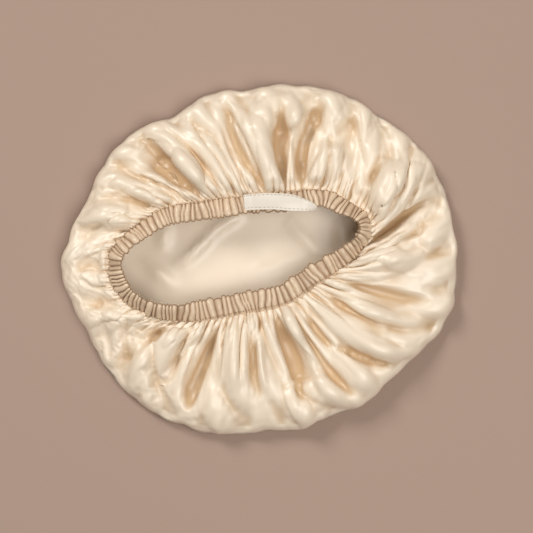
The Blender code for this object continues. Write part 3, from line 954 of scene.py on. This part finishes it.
# %% Crown mesh
fine_count = len(fine_columns)
fine_points = np.vstack([[[0.0, 0.0, 0.0]], fine_grid.reshape(-1, 3)])
fine_uv = np.vstack([[[0.0, 0.0]], fine_flat.reshape(-1, 2)])
fine_faces = ring_faces(fine_grid.shape[0], fine_count, first=1)
fine_faces += [(0, 1 + (column + 1) % fine_count, 1 + column) for column in range(fine_count)]
crown = add_mesh("crown_satin", fine_points, fine_faces, fine_uv)
crown.data.materials.append(champagne)
print("crown has", len(fine_faces), "faces")

# %% [markdown]
# A point is deep where it lies lower than its neighbours to the left and right. That is measured
# twice, over a narrow and a wide stretch, and the valleys between the gathers are added. The sum
# is how much painted shade the crown's satin gets there.

# %% Painted shade where the crown's folds are deep
NARROW_DIP = {"reach": 7, "depth": 0.0016, "share": 0.40}
WIDE_DIP = {"reach": 24, "depth": 0.0060, "share": 0.17}
GATHER_SHADE_SHARE = 1.1
DARKEST_SHADE = 0.9

heights = fine_grid[..., 2]
painted_shade = np.zeros(heights.shape)
for dip in (NARROW_DIP, WIDE_DIP):
    lower = (blur_columns(heights, dip["reach"]) - heights) / dip["depth"]
    painted_shade += dip["share"] * np.maximum(lower, 0.0)
# Painted shade also falls in the valleys between the gathers near the seam.
painted_shade[-len(near_seam):] += GATHER_SHADE_SHARE * near_seam * np.clip(1.0 - fine_arches / 0.5, 0.0, 1.0)
painted_shade = np.clip(painted_shade, 0.0, DARKEST_SHADE)
painted_shade[:under_count + 4] = 0.0
set_painted_shade(crown, np.concatenate([[0.0], painted_shade.ravel()]))
print("mean depth above", round(painted_shade[under_count:].mean(), 3))

# %% [markdown]
# ## The ruched casing
# The casing is a sleeve of the same satin round the elastic. The elastic stretches while it is
# sewn and then pulls the sleeve into small folds. It is swept as a ring: at every step a flat
# oval section, thinner at the sewn edge, turns with the casing's lean, and each gather swells it
# and scallops its edges. The steps are close, to show the sharp valleys between the gathers.

# %% Casing sweep
SWEEP_STEPS = GATHER_COUNT * 12
SECTION_POINTS = 26
GATHER_SWELL = 0.0048
SCALLOP_DEPTH = 0.0020
SLANT_SHARE = 0.55
SMALL_CRIMP = 0.00035

section_turn = np.linspace(0.0, 2 * math.pi, SECTION_POINTS, endpoint=False)
sweep_ways = np.arange(SWEEP_STEPS) / SWEEP_STEPS
way_grid = np.repeat(sweep_ways[:, None], SECTION_POINTS, axis=1)
across_share = np.repeat(np.cos(section_turn)[None, :], SWEEP_STEPS, axis=0)
up_share = np.repeat(np.sin(section_turn)[None, :], SWEEP_STEPS, axis=0)

slant = np.sin(way_grid * 41.0) * 0.5 + np.sin(way_grid * 97.0 + 1.3) * 0.5
bent_share = across_share + 0.15 * np.sin(across_share * 5.0)
slanted_ways = way_grid + SLANT_SHARE * bent_share * slant / GATHER_COUNT
crest = gather_arch(slanted_ways)
number, _ = gather_at(slanted_ways)
crimp = np.sin(across_share * 7.0 + GATHER_SLANTS[number] * 12.0) * np.sin(way_grid * 2 * math.pi * 61)
print("crests up to", round(crest.max(), 2))

# %% Section of the casing at every step
EDGE_ROUNDING = 0.0006
BOX_SLACK = 0.0015

middle, across, up = casing_frame(sweep_ways)
flatness = np.sign(up_share) * np.abs(up_share) ** 0.75
edge_pinch = 1.0 - 0.55 * ease((across_share - 0.55) / 0.45)
swell = (crest - 0.45) * GATHER_SWELL * np.clip(1.25 - across_share ** 4, 0.1, 1.0)
outward_share = np.sign(up_share) * np.abs(up_share) ** 0.5
half_thickness = CASING_THICKNESS / 2 * flatness * edge_pinch
half_thickness = half_thickness + outward_share * (swell + SMALL_CRIMP * crimp)
scallop = (crest - 0.5) * SCALLOP_DEPTH * (1.0 + 0.8 * np.clip(-across_share, 0.0, 1.0))
half_width = (CASING_WIDTH / 2 - EDGE_ROUNDING) * across_share
half_width = half_width + np.sign(across_share) * scallop * np.abs(across_share) ** 3
sideways = across[:, None, :] * half_width[..., None]
casing_points = middle[:, None, :] + sideways + up[:, None, :] * half_thickness[..., None]
casing_low, casing_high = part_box("elastic_casing")
low_limit = np.array(casing_low) - BOX_SLACK
high_limit = np.array(casing_high) + BOX_SLACK
casing_points = np.clip(casing_points, low_limit, high_limit)
print("casing up to", round(casing_points[..., 2].max() * 1000, 1), "mm high")

# %% Casing mesh
GATHERED_LENGTHS = 2.2

casing_faces = ring_faces(SWEEP_STEPS, SECTION_POINTS, joined=True)
section_way = section_turn / (2 * math.pi) * (2 * CASING_WIDTH)
section_grid = np.repeat(section_way[None, :], SWEEP_STEPS, axis=0)
casing_flat = np.stack([way_grid * CASING_LENGTH * GATHERED_LENGTHS, section_grid], axis=-1)
casing = add_mesh("ruched_casing", casing_points.reshape(-1, 3), casing_faces, casing_flat.reshape(-1, 2))
casing.data.materials.append(ruched)
# Painted shade: the casing's colour darkens towards the valleys between its gathers.
set_painted_shade(casing, 1.2 - crest / 0.55)
print("casing has", len(casing_faces), "faces")

# %% [markdown]
# ## The threads
# A brown zigzag tube runs along the free edge and a row of stitches along the sewn edge. At this
# distance they read as a fine brown line and a dotted line. The stitches are thread, one short round
# capsule for each. The tube is partly overlock thread and partly painted shadow: its dark brown
# stands in for the shade under the free edge's loops.

# %% Thread tubes
THREAD_RADIUS = 0.00045
THREAD_SIDES = 6


def tube_ring(path, radius, closed=True):
    """Rings of points of a round tube along a path."""
    ahead = np.gradient(path, axis=0)
    if closed:
        ahead = np.roll(path, -1, axis=0) - np.roll(path, 1, axis=0)
    ahead = unit(ahead)
    side = unit(np.cross(ahead, [0.0, 0.0, 1.0]))
    top = np.cross(side, ahead)
    turn = np.linspace(0.0, 2 * math.pi, THREAD_SIDES, endpoint=False)
    radius = np.broadcast_to(radius, (len(path),))[:, None, None]
    around = side[:, None, :] * np.cos(turn)[None, :, None] + top[:, None, :] * np.sin(turn)[None, :, None]
    return path[:, None, :] + around * radius


def tube_faces(ring_count, first=0, joined=False):
    """Faces of a tube, turned so that they look outwards."""
    faces = ring_faces(ring_count, THREAD_SIDES, first, joined)
    return [(here, ahead, ahead_beside, beside) for here, beside, ahead_beside, ahead in faces]


print("thread tubes have", THREAD_SIDES, "sides")


# %% Thread material
def thread_material(name, colour):
    """Matt twisted thread."""
    material = add_material(name, {"Roughness": 0.6, "Sheen Weight": 0.2})
    tree = material.node_tree
    shader = tree.nodes["Principled BSDF"]
    shade = tuple(0.75 * part for part in colour[:3]) + (1.0,)
    tree.links.new(mixed_tone(tree, shade, colour, 900.0, 2.0), shader.inputs["Base Color"])
    return material


# This brown is the stitches' own colour; on the hem tube it is partly painted shadow.
golden_thread_and_edge_shadow = thread_material("golden_thread_and_edge_shadow", (0.46, 0.29, 0.16, 1.0))
ivory_thread = thread_material("ivory_thread", (0.69, 0.585, 0.46, 1.0))
print("thread", THREAD_RADIUS * 2000, "mm thick")

# %% Hem thread, partly painted shadow
STEPS_PER_ZIGZAG = 6

zigzag = np.sin(np.arange(SWEEP_STEPS) * 2 * math.pi / STEPS_PER_ZIGZAG)
edge_path = casing_points[:, SECTION_POINTS // 2]
lifted = up * (0.0004 + zigzag * 0.0006)[:, None]
hem_path = edge_path + lifted - across * (0.0004 + 0.0003 * zigzag)[:, None]
hem_points = tube_ring(hem_path, THREAD_RADIUS)
# Painted shadow, in part: this tube's dark brown also stands in for the shade under the free edge.
hem_thread_and_shadow = add_mesh("hem_thread_and_shadow", hem_points.reshape(-1, 3), tube_faces(SWEEP_STEPS, joined=True))
hem_thread_and_shadow.data.materials.append(golden_thread_and_edge_shadow)
print("hem thread has", SWEEP_STEPS // STEPS_PER_ZIGZAG, "zigzags")


# %% Stitches
STITCH_SHAPE = [(0.0, 0.15), (0.12, 0.8), (0.35, 1.0), (0.65, 1.0), (0.88, 0.8), (1.0, 0.15)]


def add_stitches(name, starts, ends, lifts, radius, material):
    """Short round stitches that arch from their start to their end."""
    points = []
    faces = []
    for start, end, lift in zip(starts, ends, lifts):
        arch = [mix(start, end, way) + lift * math.sin(math.pi * way) for way, _ in STITCH_SHAPE]
        sizes = radius * np.array([size for _, size in STITCH_SHAPE])
        first = len(points)
        points.extend(tube_ring(np.array(arch), sizes, closed=False).reshape(-1, 3))
        last = first + (len(STITCH_SHAPE) - 1) * THREAD_SIDES
        faces.extend(tube_faces(len(STITCH_SHAPE), first))
        faces.append(tuple(first + side for side in range(THREAD_SIDES)))
        faces.append(tuple(last + side for side in reversed(range(THREAD_SIDES))))
    stitches = add_mesh(name, points, faces)
    stitches.data.materials.append(material)
    print(name, len(starts), "stitches")
    return stitches


# %% Stitches along the seam
SEAM_CORNER = 4
STEPS_PER_STITCH = 6
STITCH_STEPS = 4

seam_row = casing_points[:, SEAM_CORNER] + up * 0.0001
stitch_starts = np.arange(0, SWEEP_STEPS, STEPS_PER_STITCH)
stitch_ends = (stitch_starts + STITCH_STEPS) % SWEEP_STEPS
seam_lifts = up[stitch_starts] * 0.0006
seam_stitches = add_stitches(
    "seam_stitches", seam_row[stitch_starts], seam_row[stitch_ends], seam_lifts, 0.0004, golden_thread_and_edge_shadow
)

# %% [markdown]
# ## The blank label
# The label is a narrow satin tab, folded over and sewn flat on the back of the casing. Its right
# end is free: it reaches out over the mouth, lifted a little, and its upper edge curves down to the
# tip. The tab is made as a thin closed slab, because a single sheet would show no thickness at that
# end. It follows the casing's own path, smoothed so that it bridges the gathers.

# %% Path of the label
LABEL_LENGTH = 0.074
LABEL_WIDTH = 0.0165
LABEL_STEPS = 60
LABEL_TIP_DROP = 0.007
LABEL_CURVE_SHARE = 0.38
LABEL_TIP_WAY = 0.094
LABEL_ACROSS = 18
LABEL_HALF_THICKNESS = 0.00045
LABEL_FOLD_SHARE = 0.16
LABEL_SHIFT = 0.0032
LABEL_SMOOTHING = 60

label_ways = LABEL_TIP_WAY + np.linspace(0.0, 1.0, LABEL_STEPS + 1) * LABEL_LENGTH / CASING_LENGTH
label_middle, label_across, label_up = casing_frame(label_ways)


def smooth_along(values):
    """Even out values along the label's length."""
    for _ in range(LABEL_SMOOTHING):
        padded = np.concatenate([values[:1], values, values[-1:]])
        values = (padded[:-2] + 2 * padded[1:-1] + padded[2:]) / 4
    return values


label_middle = smooth_along(label_middle)
label_up = unit(smooth_along(label_up))
label_across = smooth_along(label_across)
label_across = unit(label_across - label_up * np.sum(label_across * label_up, axis=1, keepdims=True))
print("label runs over", round(LABEL_LENGTH / CASING_LENGTH * 100), "% of the casing")

# %% Upper and lower face of the label
TIP_NARROWING = 1.75
TIP_POWER = 1.6
DROP_SHARE = 0.7
CURL_SHARE = 0.25
CURL_RISE = 0.0022

length_share = np.linspace(0.0, 1.0, LABEL_STEPS + 1)
width_share = np.cos(np.linspace(math.pi, 0.0, LABEL_ACROSS + 1))
label_lift = CASING_THICKNESS / 2 + GATHER_SWELL * 0.75 + LABEL_HALF_THICKNESS
curl = CURL_RISE * ease(1.0 - length_share / CURL_SHARE)
buckle = 0.00025 * np.sin(length_share * 9.0) + 0.0001 * np.sin(length_share * 23.0 + 1.0)
edge_rounding = np.sqrt(np.clip(1.0 - width_share ** 8, 0.0, 1.0))


def label_row(spot, side):
    """Points across one face of the label: side is 1 for the upper face and -1 for the lower."""
    share = length_share[spot]
    rounding = edge_rounding if 0 < spot < LABEL_STEPS else 0.0 * edge_rounding
    crease = 1.0 + 0.8 * math.exp(-((share - (1 - LABEL_FOLD_SHARE)) / 0.012) ** 2)
    upper_edge = 1.0 - TIP_NARROWING * np.clip(1.0 - share / LABEL_CURVE_SHARE, 0.0, 1.0) ** TIP_POWER
    across_now = (LABEL_WIDTH / 2) * mix(-1.0, upper_edge, (width_share + 1.0) / 2)
    drop = LABEL_SHIFT + LABEL_TIP_DROP * ease(1.0 - share / DROP_SHARE)
    shift = label_across[spot] * (across_now - drop)[:, None]
    rise = label_lift + curl[spot] + buckle[spot] * (1.0 - 0.4 * width_share)
    rise = rise + side * LABEL_HALF_THICKNESS * rounding * crease
    return label_middle[spot] + shift + label_up[spot] * rise[:, None]


upper_rows = [label_row(spot, 1.0) for spot in range(LABEL_STEPS + 1)]
lower_rows = [label_row(spot, -1.0) for spot in range(LABEL_STEPS + 1)]
print("label rows", len(upper_rows))

# %% Label mesh
loops = [np.vstack([upper, lower[1:-1][::-1]]) for upper, lower in zip(upper_rows, lower_rows)]
loop_size = len(loops[0])
label_points = np.vstack(loops)
label_faces = ring_faces(len(loops), loop_size)
label_faces.append(tuple(range(loop_size)))
label_faces.append(tuple(reversed(range(LABEL_STEPS * loop_size, (LABEL_STEPS + 1) * loop_size))))
label_flat = np.zeros((len(label_points), 2))
label_flat[:, 0] = np.repeat(length_share, loop_size) * LABEL_LENGTH
label = add_mesh("blank_label", label_points, label_faces, label_flat)
label.data.materials.append(ivory)
print("label has", len(label_faces), "faces")

# %% Edge stitching of the label
EDGE_COLUMN = 4

tack_starts = []
tack_ends = []
for column in (EDGE_COLUMN, LABEL_ACROSS - EDGE_COLUMN):
    for spot in range(2, LABEL_STEPS - 3, 3):
        tack_starts.append(upper_rows[spot][column])
        tack_ends.append(upper_rows[spot + 2][column])
tack_lifts = [label_up[0] * 0.0004] * len(tack_starts)
label_stitches = add_stitches("label_stitches", tack_starts, tack_ends, tack_lifts, 0.00025, ivory_thread)

# %% [markdown]
# ## Declaring the pieces
# Nothing on a bonnet turns or slides, so every piece rides on the one body. The satin crown, the
# casing and the label stand for the imported solids of the same names, which are hidden. The threads
# stand for nothing: they only ride along.

# %% Declare and finish
for piece, node, slot in (
    (crown, "crown", "champagne_satin"),
    (casing, "elastic_casing", "ruched_satin"),
    (label, "label", "ivory_label"),
):
    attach(piece, "root")
    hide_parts(node)
for piece, slot in (
    (hem_thread_and_shadow, "ruched_satin"),
    (seam_stitches, "ruched_satin"),
    (label_stitches, "ivory_label"),
):
    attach(piece, "root")
